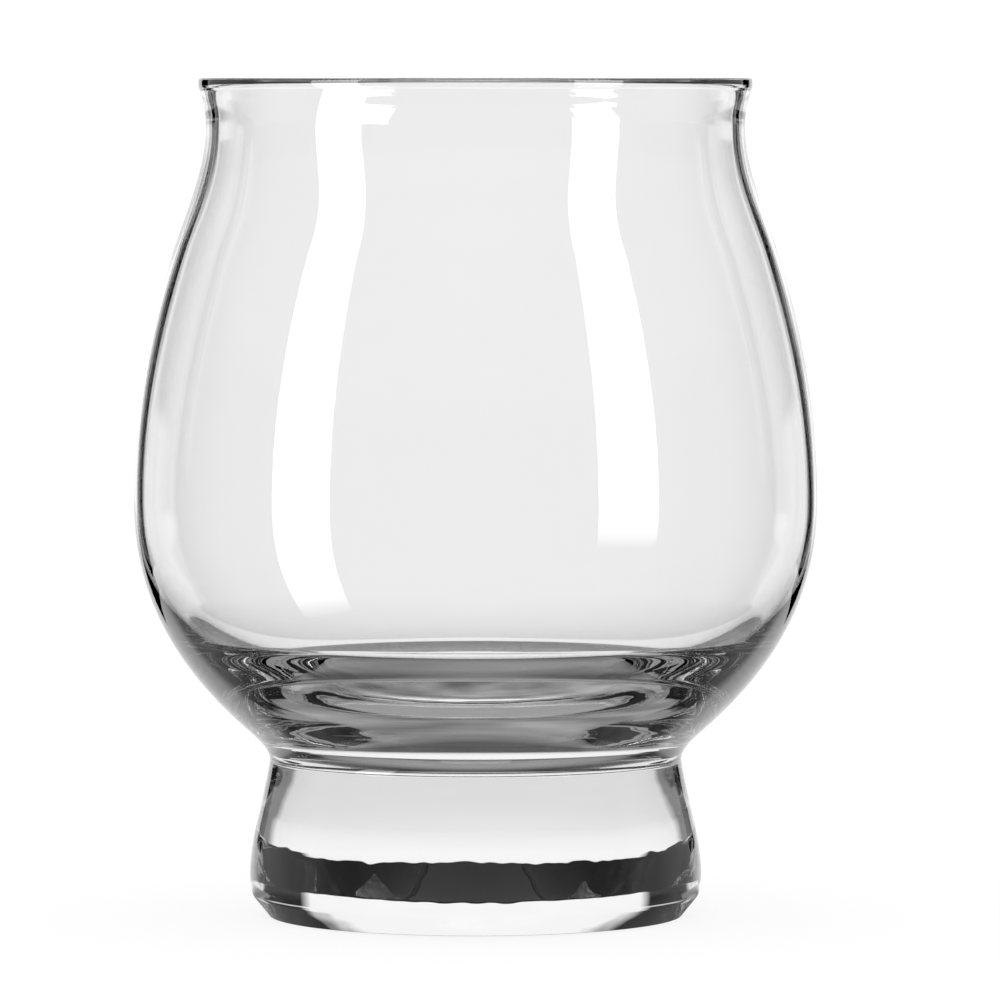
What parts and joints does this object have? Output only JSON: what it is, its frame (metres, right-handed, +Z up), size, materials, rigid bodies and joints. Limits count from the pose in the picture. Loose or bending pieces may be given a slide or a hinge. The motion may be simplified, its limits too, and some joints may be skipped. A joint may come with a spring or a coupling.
{
  "type": "whisky nosing glass",
  "caption": "Clear footed nosing glass: round belly, narrow neck, flared lip, and a heavy base fused at a waist onto a solid flared foot.",
  "frame": {"origin": "on the glass's axis, in the plane that it rests on", "axes": "+Z up along the axis of revolution, from the foot to the lip; X and Y are equal by symmetry"},
  "size_m": [0.083, 0.083, 0.1016],
  "materials": {
    "bowl_glass": "clear blown glass, fire-polished",
    "foot_glass": "clear pressed glass, fire-polished"
  },
  "bodies": {
    "root": {"bowl": "bowl_glass", "foot": "foot_glass"}
  },
  "joints": []
}
